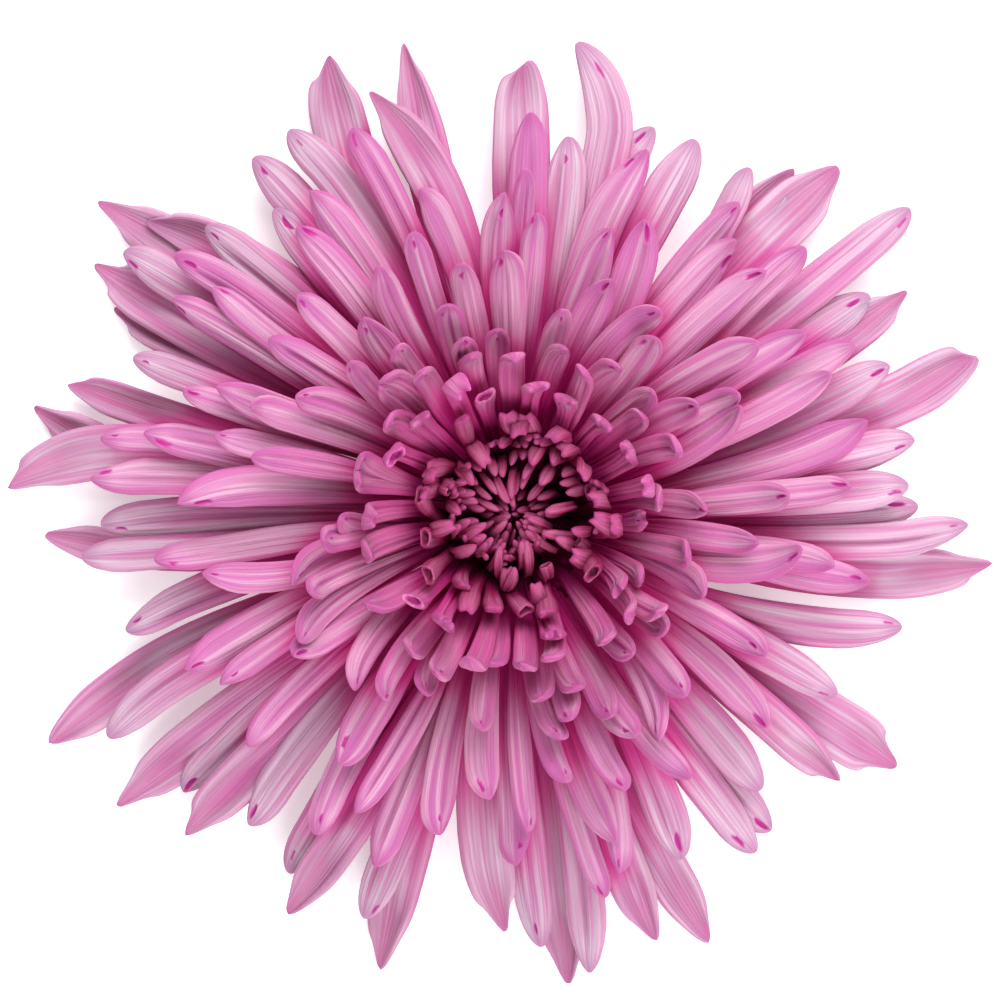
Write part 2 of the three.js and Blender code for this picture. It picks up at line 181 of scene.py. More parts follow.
def buildPetalVeins():
    # Fine veins and broad folds that run the length of a petal. Around is 0 and 1 under it and 0.5 on top.
    tree, given, out = newGroup(
        "petalVeins",
        {"Around": 0.5, "Along": 0.5, "Seed": 0.0},
        {"Vein": 0.0, "Fold": 0.0, "Streak": 0.0, "Height": 0.0},
    )
    seed = times(tree, given["Seed"], veinShape["seedScale"])
    fold, streak = (
        stretchedNoise(tree, given["Around"], given["Along"], *veinShape[name], seed)
        for name in ("fold", "streak")
    )
    turns = times(tree, given["Around"], veinShape["count"])
    turns = plus(tree, turns, times(tree, fold, veinShape["wander"]))
    wave = mathNode(tree, "SINE", times(tree, turns, 2 * math.pi))
    ofWave, ofStreak = veinShape["relief"]
    height = plus(tree, times(tree, wave, ofWave), times(tree, streak, ofStreak))
    for name, value in (("Vein", wave), ("Fold", fold), ("Streak", streak)):
        feed(tree, out, {name: smoothNode(tree, value, *veinShape["shows"][name])})
    feed(tree, out, {"Height": height})
    return tree


# How each colour comes over the ones before it. A range of four numbers ends with its values at both ends.
toneSteps = {
    "body": (0.1, 0.55),  # shares of the length
    "tip": (0.5, 0.95),
    "tipStreak": -0.22,  # how far a streak runs ahead or back
    "lines": {"Fold": ("Pale", 0.75), "Streak": ("Line", 0.46), "Vein": ("Line", 0.2)},
    # Painted shade: deeper underneath and along the sides, where a rounded petal turns from the light.
    "underneathShade": (0.23, 0.4),  # away from the middle of the top, where the sides are at 0.25
    "sides": (0.0, 0.13, 1.0, 0.0),
    "end": (0.93, 1.01, 0.0, 0.75),
    "endStreak": 0.02,
    # Young florets are deeper in their own colour; their roots, down in the head, take painted shade.
    "young": (0.68, 0.97, 1.0, 0.42),
    "youngRootShade": (0.2, 0.8, 0.9, 0.0),
    # The inner face of an open end takes its own inside colour, and the deepest fold on top takes it as
    # painted shade.
    "inside": 0.6,
    "back": (0.3, 0.45, 1.0, 0.3),  # neighbours shade a floret's back less than its face
    "shadeShare": (0.0, 0.65, 0.0, 0.75),
    "mostShade": (0.35, 1.0),
    "roughness": (0.47, 0.15),  # of the skin, and what a streak adds
}


def buildPetalTone(veins):
    # The colour of a petal from its base to its tip. Painted shade deepens it underneath, along its sides, in
    # its top fold, inside an open tube, at the roots of the young florets inside and where its neighbours
    # stand over it; the young florets are also deeper in their own colour.
    colours = ("Base", "Body", "Tip", "End", "Pale", "Line", "Inside", "Deep and shade", "Mouth", "Shadow")
    plain = ("Seed", "Youth", "Mouth and tube shade mask", "Inside and crease shade mask", "Crowd shade", "Underneath shade", "Side shade")
    tree, given, out = newGroup(
        "petalTone",
        {
            "Around": 0.5, "Along": 0.5, "Contrast": 1.0,
            **{name: 0.0 for name in plain},
            **{name: (1, 1, 1, 1) for name in colours},
        },
        {"Color": (1, 1, 1, 1), "Height": 0.0, "Roughness": 0.5},
    )
    same = {name: given[name] for name in ("Around", "Along", "Seed")}
    lines = addNode(tree, "Group", same, node_tree=veins)

    def ramp(value, step):
        return smoothNode(tree, value, *toneSteps[step])

    def streaked(step):
        return plus(tree, given["Along"], times(tree, lines["Streak"], toneSteps[step]))

    fromTop = awayFrom(tree, given["Around"], 0.5)
    fromSide = awayFrom(tree, fromTop, 0.25)
    shadeShare = times(tree, given["Crowd shade"], ramp(fromTop, "back"))
    covers = [("Body", ramp(given["Along"], "body")), ("Tip", ramp(streaked("tipStreak"), "tip"))]
    for line, (name, amount) in toneSteps["lines"].items():
        covers.append((name, times(tree, times(tree, lines[line], amount), given["Contrast"], clamp=True)))
    covers += [
        # Painted shade underneath and along the sides.
        ("Deep and shade", times(tree, ramp(fromTop, "underneathShade"), given["Underneath shade"])),
        ("Deep and shade", times(tree, ramp(fromSide, "sides"), given["Side shade"])),
        ("End", ramp(streaked("endStreak"), "end")),
        # Young florets deeper in their own colour, and painted shade at their roots.
        ("Deep and shade", times(tree, given["Youth"], ramp(given["Along"], "young"))),
        ("Shadow", times(tree, given["Youth"], ramp(given["Along"], "youngRootShade"))),
        # The inner face of an open end in its inside colour, and painted shade in the top fold.
        ("Inside", times(tree, given["Inside and crease shade mask"], toneSteps["inside"])),
        # The mouth's colour, and painted shade deeper inside an open tube.
        ("Mouth", given["Mouth and tube shade mask"]),
        # Painted shade where its neighbours stand over the floret, darkest where it lies deepest.
        ("Deep and shade", ramp(shadeShare, "shadeShare")),
        ("Shadow", ramp(shadeShare, "mostShade")),
    ]
    colour = given["Base"]
    for name, amount in covers:
        colour = mixColours(tree, amount, colour, given[name])
    smoothest, added = toneSteps["roughness"]
    roughness = plus(tree, times(tree, lines["Streak"], added), smoothest)
    feed(tree, out, {"Color": colour, "Height": lines["Height"], "Roughness": roughness})
    return tree


def petalMaterial(name, tone, look):
    material, tree, shader = newMaterial(name)
    petal, floret, marksAndShade, shadeMap = (mapParts(tree, layer) for layer in ("petal", "floret", "marksAndShade", "crowdShade"))
    skin = addNode(tree, "Group", {
        "Around": petal[0], "Along": petal[1], "Seed": floret[0], "Youth": floret[1],
        "Mouth and tube shade mask": marksAndShade[0], "Inside and crease shade mask": marksAndShade[1], "Crowd shade": shadeMap[0],
        **look["tone"],
    }, node_tree=tone)
    feed(tree, shader, {
        "Base Color": skin["Color"],
        "Roughness": skin["Roughness"],
        "Normal": relief(tree, skin["Height"], look["relief"], veinShape["depth"]),
        **look["shader"],
    })
    return material


# Pieces

def placeObject(name, data, place=(0, 0, 0)):
    placed = bpy.data.objects.new(name, data)
    placed.location = place
    bpy.context.scene.collection.objects.link(placed)
    return placed


def makePiece(name, points, faces, maps, material):
    mesh = bpy.data.meshes.new(name)
    mesh.from_pydata((np.array(points) * mm).tolist(), [], faces)
    for layerName, values in maps.items():
        layer = mesh.uv_layers.new(name=layerName)
        layer.data.foreach_set("uv", np.array(values, dtype=np.float32).ravel())
    mesh.polygons.foreach_set("use_smooth", [True] * len(mesh.polygons))
    mesh.materials.append(material)
    mesh.update()
    print(name, sum(len(face.vertices) - 2 for face in mesh.polygons), "triangles")
    return placeObject(name, mesh)


# Florets

# What a floret has unless its own entry says otherwise.
plainFloret = {
    "inEye": False, "open": False, "trumpet": False, "twist": 0, "pointed": 0, "lopsided": 0, "flare": 0,
    "lobes": 0, "creasePlace": 0, "mouthSize": 0,
}
rayShape = {
    "rootWidth": 0.36,  # of the greatest width
    "widest": 0.74,  # share of the length
    # A young floret is a narrow stalk that flares out near its tip, between these shares of its length.
    "stalk": 0.68, "flare": (0.62, 0.9),
    "quillTip": 1.35,  # length of the round tip, of the greatest width
    "spoonTip": 1.5, "youngTip": 0.7, "tipPowers": ((2.1, 1.5), (0.55, 0.75)),
    "bendLength": (12, 0.4),  # of the end that bends to one side, and the most it may be of the length
    "twistFrom": 0.3,  # share of the length
    "surfaceBend": 0.8, "surfaceClear": 0.05, "lowest": 0.02, "funnelBend": 0.3,
    "under": 0.85,  # depth of the lower half, of the upper one
    "grooves": [(0.5, 0.13, 1), (-0.45, 0.13, 1), (0.04, 0.11, 0.7)],  # place, half width and share
    "grooveEnds": ((0.03, 0.35), (0.84, 0.96)),
    "groove": 0.13,  # depth of a shallow groove on top, of the thickness
    "crease": (0.34, 0.17),  # depth of the deepest fold on top, of the thickness, and its half width
    "showsUnder": 0.6,  # how far the grooves and the fold show on the lower half
    "wave": (0.05, 9, 40),  # how far the edges wander, of the half width, how often, and what the seed shifts
    # The small opening on top, near the tip: sizes for a floret of this width.
    "mouth": {
        "width": 4.8, "halfLength": 1.0, "halfWidth": 0.26, "back": 1.9,
        "depth": (0.32, 1.5),  # and the most it may be of the half thickness
        "hole": (0.7, 1.15),  # the rest are places from its middle, where its edge is at 1
        "lip": (1.4, 0.35, 0.12),  # middle, half width and height
        "mask": (0.8, 1.4),
    },
    # An open end is a channel between two margins that stand up and roll in.
    "channel": {"run": 0.16, "halfWidth": 0.72, "power": 0.7, "floor": 0.85, "wall": 0.4},
    "margin": (0.85, 0.16, 0.35),  # place and half width across, and height
    "teeth": (0.86, 1.0),
    "toothLength": (0.14, 0.3),  # without and with a flare, of the width
    # The end of a floret that is an open tube: shares of the rim's size, and depths over the floret's width.
    "trumpet": [(0.93, -0.04), (0.8, -0.05), (0.66, 0.02), (0.55, 0.14), (0.46, 0.3)],
    # How far the inside of an open tube darkens toward the mouth colour: painted shade.
    "trumpetShade": 0.8, "steps": 60,
}

# Rows of points along a floret. Those of a tip are angles round it, and the others are shares of the length.
rowPlan = {
    "last": 0.9997,
    "quill": {
        "body": (20, 0.8),  # rows before the mouth, and how they crowd toward it
        # In half lengths of the mouth, from its middle.
        "mouth": (-1.4, -1.15, -0.98, -0.8, -0.55, -0.25, 0.1, 0.45, 0.75, 0.95, 1.12, 1.35),
        "around": (1.7, 1.6), "tip": (0, 22, 42, 58, 71, 81, 87),
    },
    "spoon": {"body": 12, "channel": (0.92, 14), "end": 0.08, "tip": (12, 25, 38, 50, 61, 71, 80, 87)},
    "trumpet": {"rim": 0.7, "body": (0.8, 9), "near": (0.86, 0.9, 0.93, 0.96, 0.985, 1)},
    "eye": {"body": (0.8, 10), "end": 0.2, "tip": (20, 38, 54, 67, 78, 86)},
}


def centreline(floret):
    count = rayShape["steps"]
    share = np.linspace(0, 1, count + 1)
    middle = (share[:-1] + share[1:]) / 2
    hook = floret["hook"] * smooth(middle, floret["hookStart"], 1)
    slope = np.radians(mix(floret["rise"], floret["fall"], middle) + hook)
    out, up = (np.concatenate([[0], np.cumsum(part(slope)) / count]) for part in (np.cos, np.sin))
    if "length" in floret:
        length = floret["length"]
    else:
        length = (math.sqrt(floret["reach"] ** 2 - floret["bend"] ** 2) - floret["rootRadius"]) / out[-1]
    return {"share": share, "out": out * length, "up": up * length, "length": length}


def tipWidth(past, point):  # the round end of a floret, more pointed as point goes up from 0
    power, root = (mix(*ends, point) for ends in rayShape["tipPowers"])
    return np.clip(1 - past ** power, 0, 1) ** root


def bodyWidth(floret, u):
    usual = mix(rayShape["rootWidth"], 1, smooth(u, 0, rayShape["widest"]))
    flared = mix(rayShape["stalk"], 1, smooth(u, *rayShape["flare"]))
    return mix(usual, flared, floret["flare"])


def floretFrame(floret, line, u):
    # The middle line, its directions and the half sizes at shares u of the length.
    length = line["length"]
    tipStart = 1 - floret["tipLength"] / length
    past = np.clip((u - tipStart) / (1 - tipStart), 0, 1)
    body = bodyWidth(floret, u)
    thickness = floret["thickness"] * body
    wave, often, shift = rayShape["wave"]
    share = body * tipWidth(past, floret["pointed"])
    share = share * (1 + wave * np.sin(u * often + shift * floret["seed"]))
    radius = floret["rootRadius"] + np.interp(u, line["share"], line["out"])
    height = floret["rootHeight"] + np.interp(u, line["share"], line["up"])
    height = softMax(height, thickness / 2 + rayShape["surfaceClear"], rayShape["surfaceBend"])
    funnel = head["funnel"]
    wall = np.minimum(funnel["radius"] + funnel["spread"] * (height - funnel["bottom"]), funnel["full"])
    clear = thickness / 2 + head["clear"]
    if floret["inEye"]:
        radius = softMin(radius, wall - clear, rayShape["funnelBend"])
    else:
        radius = softMax(radius, wall + clear, rayShape["funnelBend"])
    aside = math.degrees(math.asin(floret["bend"] / floret["reach"])) if "reach" in floret else 0
    azimuth = np.radians(floret["azimuth"] - aside - floret["swing"] * (1 - u * u))
    cos, sin, level = np.cos(azimuth), np.sin(azimuth), np.zeros_like(u)
    outward = np.stack([cos, sin, level], 1)
    across = np.stack([-sin, cos, level], 1)
    # The end of a floret bends over to one side.
    most, ofLength = rayShape["bendLength"]
    bendLength = min(most, ofLength * length)
    bent = floret["bend"] * np.clip(1 - (1 - u) * length / bendLength, 0, 1) ** 2
    centre = outward * radius[:, None] + across * bent[:, None]
    centre[:, 2] = height
    # The directions follow the line as it was bent, not as it set out.
    along = unit(np.gradient(centre, u * length + 1e-9, axis=0))
    side = unit(across - along * np.sum(across * along, 1)[:, None])
    top = np.cross(along, side)
    roll = np.radians(floret["roll"] + floret["twist"] * (u - rayShape["twistFrom"]))
    cos, sin = np.cos(roll)[:, None], np.sin(roll)[:, None]
    return {
        "centre": centre[:, None],
        "along": along[:, None],
        "side": (side * cos + top * sin)[:, None],
        "top": (top * cos - side * sin)[:, None],
        "halfWidth": (floret["width"] / 2 * share)[:, None],
        "halfThickness": (thickness * np.sqrt(np.clip(1 - past ** 2, 0, 1)) / 2)[:, None],
        "past": past[:, None],
    }


def sectionAngles(topShares, underAngles):
    # Round the section from the middle underneath, by +side, over the top and back.
    right = [math.degrees(math.acos(share)) for share in topShares]
    half = [-90, *underAngles, 0, *right]
    return np.radians([*half, *[180 - angle for angle in reversed(half)]])


raySection = sectionAngles([0.96, 0.85, 0.68, 0.5, 0.36, 0.26, 0.17, 0.09, 0.025], [-64, -38, -16])
eyeSection = sectionAngles([0.8, 0.35], [-40])


def roundEnd(size, angles):
    return 1 - size * np.cos(np.radians(angles))


def quillRows(length, floret):
    plan, mouth = rowPlan["quill"], rayShape["mouth"]
    scale = floret["width"] / mouth["width"]
    place = 1 - (mouth["back"] + floret["mouthBack"]) * scale / length
    half = mouth["halfLength"] * scale * floret["mouthSize"] / length
    before, after = plan["around"]
    count, power = plan["body"]
    body = (place - before * half) * np.linspace(0, 1, count) ** power
    near = place + half * np.array(plan["mouth"])
    tip = roundEnd(1 - (place + after * half), plan["tip"])
    return np.unique(np.clip(np.concatenate([body, near, tip]), 0, rowPlan["last"])), place, half


def spoonRows(floret):
    plan = rowPlan["spoon"]
    body = np.linspace(0, floret["openStart"], plan["body"])
    channel = np.linspace(floret["openStart"], *plan["channel"])[1:]
    tip = roundEnd(plan["end"], plan["tip"])
    return np.clip(np.concatenate([body, channel, tip]), 0, rowPlan["last"])


def trumpetRows(length, floret):
    plan = rowPlan["trumpet"]
    rim = 1 - plan["rim"] * floret["tipLength"] / length
    return rim * np.concatenate([np.linspace(0, *plan["body"]), plan["near"]])


def eyeRows():
    plan = rowPlan["eye"]
    return np.concatenate([np.linspace(0, *plan["body"]), roundEnd(plan["end"], plan["tip"])])


def openMouth(floret, shape, x, z, upper, off):  # off is how far along the mouth each row lies
    mouth = rayShape["mouth"]
    scale = floret["width"] / mouth["width"] * floret["mouthSize"]
    halfWidth = mouth["halfWidth"] * scale
    curved = floret["mouthSide"] * shape["halfWidth"] + floret["mouthCurve"] * halfWidth * off ** 2
    away = np.sqrt(off ** 2 + ((x - curved) / halfWidth) ** 2)
    depth, most = mouth["depth"]
    middle, width, height = mouth["lip"]
    hole = upper * (1 - smooth(away, *mouth["hole"]))
    lip = upper * bell(away, middle, width)
    z = z - hole * np.minimum(depth * scale, shape["halfThickness"] * most) + lip * height * scale
    return z, upper * (1 - smooth(away, *mouth["mask"]))


def openChannel(floret, shape, across, z, upper, u):
    plan, halfThickness = rayShape["channel"], shape["halfThickness"]
    depth = smooth(u, floret["openStart"], floret["openStart"] + plan["run"])
    channel = np.clip(1 - (across / plan["halfWidth"]) ** 2, 0, 1) ** plan["power"]
    floor = -plan["floor"] * halfThickness * np.sqrt(np.clip(1 - across ** 2, 0, 1)) + plan["wall"]
    sunk = np.minimum(z, mix(z, floor, depth * channel))
    place, width, height = rayShape["margin"]
    margin = bell(np.abs(across), place, width) * depth * upper
    return np.where(upper, sunk, z) + margin * height * halfThickness, upper * depth * channel


def floretPoints(floret):
    # Points in rows round the floret, and the masks for the mouth and the inside.
    floret = {**plainFloret, **floret}
    line = centreline(floret)
    quill = False
    if floret["trumpet"]:
        u = trumpetRows(line["length"], floret)
    elif floret["inEye"]:
        u = eyeRows()
    elif floret["open"]:
        u = spoonRows(floret)
    else:
        quill = True
        u, place, half = quillRows(line["length"], floret)
    shape = floretFrame(floret, line, u)
    angles = eyeSection if floret["inEye"] else raySection
    across = np.cos(angles)[None, :]
    above = np.sin(angles)[None, :]
    upper = above > 0
    rows = u[:, None]
    x = across * shape["halfWidth"] * (1 + floret["lopsided"] * across * shape["past"])
    z = above * shape["halfThickness"] * np.where(upper, 1.0, rayShape["under"])
    # Folds and grooves along the top, which die out toward both ends.
    start, end = rayShape["grooveEnds"]
    fade = smooth(rows, *start) * (1 - smooth(rows, *end))
    grooves = sum(share * bell(across, place, width) for place, width, share in rayShape["grooves"])
    deepest, width = rayShape["crease"]
    crease = floret["creaseDepth"] * bell(across, floret["creasePlace"], width)
    dent = (rayShape["groove"] * grooves + deepest * crease) * fade * floret["thickness"]
    z = z - np.where(upper, dent, -rayShape["showsUnder"] * dent)
    mouthAndTubeShade = np.zeros_like(x)
    # The deepest fold on top takes the inside colour: painted shade in the crease.
    channelAndCreaseShade = upper * crease * fade
    if quill and floret["mouthSize"] > 0:
        z, mouthAndTubeShade = openMouth(floret, shape, x, z, upper, (rows - place) / half)
    if floret["open"]:
        z, channelAndCreaseShade = openChannel(floret, shape, across, z, upper, rows)
    centre = shape["centre"]
    if floret["lobes"]:
        turn = x / floret["width"] * 2 * math.pi * floret["lobes"]
        lobes = np.cos(turn + floret["phase"]) - math.cos(floret["phase"])
        teeth = smooth(rows, *rayShape["teeth"]) * lobes
        toothLength = mix(*rayShape["toothLength"], floret["flare"]) * floret["width"]
        centre = centre + shape["along"] * teeth[:, :, None] * toothLength
    points = centre + shape["side"] * x[:, :, None] + shape["top"] * z[:, :, None]
    if floret["trumpet"]:
        # The end is an open tube, so its surface turns in at the rim and goes back down. Deeper in, it takes
        # more
        # of the mouth colour: painted shade inside the tube.
        rim, middle = points[-1], points[-1].mean(0)
        turned = [middle + (rim - middle) * share - shape["along"][-1] * depth * floret["width"]
                  for share, depth in rayShape["trumpet"]]
        tubeShade = np.linspace(0, rayShape["trumpetShade"], len(turned))[:, None] * np.ones_like(x[:1])
        points = np.concatenate([points, turned])
        u = np.concatenate([u, np.full(len(turned), u[-1])])
        mouthAndTubeShade = np.concatenate([mouthAndTubeShade, tubeShade])
        channelAndCreaseShade = np.concatenate([channelAndCreaseShade, np.zeros_like(tubeShade)])
    points[:, :, 2] = np.maximum(points[:, :, 2], rayShape["lowest"])
    return floret, u, points, mouthAndTubeShade, channelAndCreaseShade


def aroundOf(angles):  # 0 and 1 in the middle underneath, 0.25 and 0.75 at the sides, 0.5 on top
    across = np.cos(angles)
    under = np.where(np.degrees(angles) > 90, 1 + 0.25 * across, 0.25 * across)
    return np.where(np.sin(angles) >= -1e-9, 0.5 - 0.25 * across, under)


# Painted shade: a floret that lies below its neighbours takes deeper colours, as if they shaded it.
crowdShade = {
    "cell": 1.0,  # of the grid that the crown of the head is measured on
    "halfGrid": 70,
    "reach": 2,  # cells on each side that count as neighbours
    # How far below its neighbours a floret starts to take painted shade and takes the most: in the eye, and
    # away from it.
    "innerDepth": (0.2, 4.5), "outerDepth": (1.1, 10), "between": (10, 17),
    "passes": 5,  # of evening out along each floret
}
sewing = {
    "tip": 0.15,  # how far it stands past the last row, of the rows' spacing
    "bakeCell": (0.04, 0.96),
}


def cellsOf(points):
    return tuple(np.floor(points[..., k] / crowdShade["cell"]).astype(int) + crowdShade["halfGrid"] for k in (0, 1))


def crownOf(grown):
    # The height of the crown of the head over each cell of a grid, evened out over the neighbouring cells.
    count = 2 * crowdShade["halfGrid"]
    crown = np.zeros((count, count))
    for _, _, points, _, _ in grown:
        np.maximum.at(crown, cellsOf(points), points[..., 2])
    reach = crowdShade["reach"]
    shifts = [(i, j) for i in range(-reach, reach + 1) for j in range(-reach, reach + 1)]
    return sum(np.roll(crown, shift, (0, 1)) for shift in shifts) / len(shifts)


def paintedShadeOf(points, crown):  # how deep each point lies among its neighbours, which sets its painted shade
    below = crown[cellsOf(points)] - points[..., 2]
    outer = smooth(np.hypot(points[..., 0], points[..., 1]), *crowdShade["between"])
    low, high = (mix(*ends, outer) for ends in zip(crowdShade["innerDepth"], crowdShade["outerDepth"]))
    shadeShare = smooth(below, low, high)
    for _ in range(crowdShade["passes"]):
        shadeShare[1:-1] = (shadeShare[:-2] + 2 * shadeShare[1:-1] + shadeShare[2:]) / 4
    return shadeShare


def withTip(values):  # the tip has what the last row has
    return np.concatenate([values, values[-1:]])


def sewFlorets(name, grown, crown, material):
    # One mesh for many florets, with the maps that their material reads. OFBake has a cell for each floret.
    allPoints, faces = [], []
    maps = {layer: [] for layer in ("petal", "floret", "marksAndShade", "crowdShade", "OFBake")}
    offset = 0
    perSide = math.ceil(math.sqrt(len(grown)))
    for order, (floret, u, points, mouthAndTubeShade, channelAndCreaseShade) in enumerate(grown):
        rows, columns = points.shape[0], points.shape[1] - 1  # the last column closes on the first
        rings = points[:, :-1]
        end = rings[-1].mean(0)
        allPoints += [rings.reshape(-1, 3), [end + (end - rings[-2].mean(0)) * sewing["tip"]]]
        # Corners as (row, column), where the row past the last one is the tip.
        last, turn = rows - 1, range(columns)
        sewn = [((i, k), (i, k + 1), (i + 1, k + 1), (i + 1, k)) for i in range(last) for k in turn]
        sewn += [((last, k), (last, k + 1), (rows, k)) for k in turn]
        sewn.append([(0, k) for k in reversed(turn)])
        tip = rows * columns
        faces += [[offset + min(i * columns + k % columns, tip) for i, k in face] for face in sewn]
        offset += tip + 1
        at = tuple(np.array([corner for face in sewn for corner in face]).T)
        around = aroundOf(eyeSection if floret["inEye"] else raySection)
        across, up = (
            (cell + mix(*sewing["bakeCell"], share)) / perSide
            for cell, share in zip(divmod(order, perSide), (around, np.arange(1, rows + 2) / (rows + 1)))
        )
        given = {
            "petal": (around, np.append(u, 1)[:, None]),
            "floret": (floret["seed"], floret["youth"]),
            "marksAndShade": (withTip(mouthAndTubeShade), withTip(channelAndCreaseShade)),
            # Painted shade from the neighbours that stand over each point.
            "crowdShade": (withTip(paintedShadeOf(points, crown)), 0),
            "OFBake": (across, up[:, None]),
        }
        size = (rows + 1, columns + 1)
        for layer, pair in given.items():
            maps[layer].append(np.stack([np.broadcast_to(part, size)[at] for part in pair], 1))
    points = np.concatenate(allPoints)
    points[:, :2] += head["stemAxis"]
    maps = {layer: np.concatenate(parts) for layer, parts in maps.items()}
    return makePiece(name, points, faces, maps, material)


def fromTable(i, kind, share=0):
    # A pair of values runs from the first to the second with share. A spread has its draw and its size.
    has = dict(kind["has"])
    for name, value in has.items():
        if isinstance(value, tuple):
            has[name] = mix(*value, share)
    for name, (use, size) in kind["spreads"].items():
        has[name] = has.get(name, 0) + spread(i, use, size)
    return has | {name: draw(i, use) for name, use in kind["draws"].items()}


# Outline florets

outline = {
    # azimuth of the tip, reach from the stem's axis, sideways swing on the way out, and where they aren't the
    # usual: breadth, how far the end bends aside, and length of the narrowing end over the breadth
    "florets": [
        (1.3, 50.7, 1.5), (4.3, 49.3, 1), (10.6, 51, 1, 4.8), (19.4, 60.9, 4.5, 6.6, 1, 1.2),
        (21.6, 50.4, 3), (29.6, 57, 4), (31.6, 52.5, 1), (37.7, 63, 1), (46.7, 60, -2.5, 7.2, 0, 1.3),
        (50.6, 56, -3), (55.7, 52.4, 4, 4), (64.1, 52.2, -1.5, 5.6), (70, 51.6, -2, 5.4, -2.5),
        (82.4, 59.8, 2, 5.6, 6.2), (81.7, 47.7, 2), (88.9, 56.6, 0.5, 7.1, 0, 0.95),
        (108.7, 56, 11, 6, 0, 1.8), (102.9, 60.9, -1.2, 6, 0, 2.2), (112.3, 62.1, -5.5, 6.6, 0, 1.25),
        (120.2, 55.7, 5, 4.8, 0.8), (126, 55.4, 4, 4.9), (128, 48.5, 2), (136.8, 52.5, 3),
        (141, 59, 10, 6), (143.1, 65.5, 4, 7.2, 0, 1.9), (146, 58.9, 2), (149.2, 61.5, 0, 6.6),
        (152.8, 56.6, 2, 5.4), (157.5, 51.2, 1.5, 4), (163.4, 58, -1.8, 5), (167.3, 61.9, -9, 5.8),
        (176.4, 63.4, 9, 6.6, 1.8), (181.3, 51.5, 2.5), (182.3, 59, -7), (185.6, 54.1, -1, 4.2),
        (196.6, 50.4, 6), (206.5, 64.8, 7, 5.7), (208.8, 57.9, 4, 4.8, 1.2),
        (216.4, 61.9, 1.5, 7, 0, 1.8), (220, 54, 2.5), (224, 57.2, 0, 6.2), (229.6, 50.8, 4, 4.6),
        (238, 53, 1), (240.3, 57.3, -4, 5.8), (249.8, 53.8, -1), (253.5, 59.5, 2.5, 6.4, 0, 1.7),
        (269.1, 51.9, 8.5, 7, 0, 1.6), (273.8, 54.2, 3, 5.2), (276.7, 59.5, -1, 6.6, 0, 1.6),
        (279.5, 58.2, -3, 5, 0, 1.7), (288.4, 56.3, 2, 5.4, 0, 1.7), (294.9, 59, 4, 6),
        (296, 47.6, -4, 5.2), (305.8, 51.9, 1), (309.2, 51, 2, 5.2), (312.1, 46, -2, 5),
        (320.6, 52.3, -2, 5.9), (326.8, 57.9, 0, 7.6, 0, 1.15), (331, 46, -1, 4.6), (344, 50.5, 9.5),
        (353.9, 60.38, 6, 7.3, 0, 1.8), (358.8, 57, 4.5, 5, 1, 1.7),
    ],
    "quillWidth": 5,
    "openReach": 55.5,  # florets that reach further than this, or broader than openBreadth, are open spoons
    "openBreadth": 5.7,
    "lift": ((-7, -16), (46, 62), (-3, 3, 0)),  # between which reaches it falls, and turn by turn
    "arch": 11,
    "blunt": (1.3, 1.5),  # a shorter end than this, over the breadth, has its teeth shifted
    "pointed": (1.25, 0.8, 0.8),  # from how long an end, over how much more, and the most
    "has": {
        "rootRadius": 9.5, "rootHeight": 13.8, "hook": 14, "hookStart": 0.87, "thickness": 2.1,
        "openStart": 0.72, "mouthBack": 0.3, "youth": 0,
    },
    "spreads": {
        "roll": (2, 12), "twist": (12, 24), "openStart": (13, 0.08), "phase": (14, 1.5),
        "mouthSide": (15, 0.62), "mouthBack": (16, 0.9), "mouthCurve": (47, 0.8), "creasePlace": (24, 0.5),
    },
    "draws": {"creaseDepth": 25, "seed": 17},
}


def mouthSize(i):  # about one floret in four stays shut, and the others open by different amounts
    return 0 if draw(i, 26) < 0.25 else 0.5 + 0.7 * draw(i, 27)


def outlineFloret(i, azimuth, reach, swing, breadth=outline["quillWidth"], bend=0, taper=None):
    ends, between, turns = outline["lift"]
    lift = mix(*ends, smooth(reach, *between)) + turns[i % 3]
    width = breadth + spread(i, 1, 0.2)
    isOpen = (reach > outline["openReach"] and i % 3 != 1) or breadth >= outline["openBreadth"]
    taper = taper or rayShape["spoonTip" if isOpen else "quillTip"]
    start, run, most = outline["pointed"]
    floret = fromTable(i, outline)
    blunt, shift = outline["blunt"]
    if taper < blunt:
        floret["phase"] += shift
    return floret | {
        "azimuth": azimuth,
        "reach": reach,
        "swing": swing,
        "rise": lift + outline["arch"],
        "fall": lift - outline["arch"],
        "width": width,
        "open": isOpen,
        "pointed": most * min(max((taper - start) / run, 0), 1),
        "lopsided": 0 if isOpen else spread(i, 51, 0.3),
        "tipLength": width * taper,
        "lobes": mix(1.1, 2.2, draw(i, 39)) if isOpen else 0,
        "bend": bend,
        "mouthSize": mouthSize(i),
    }


# Middle and inner florets

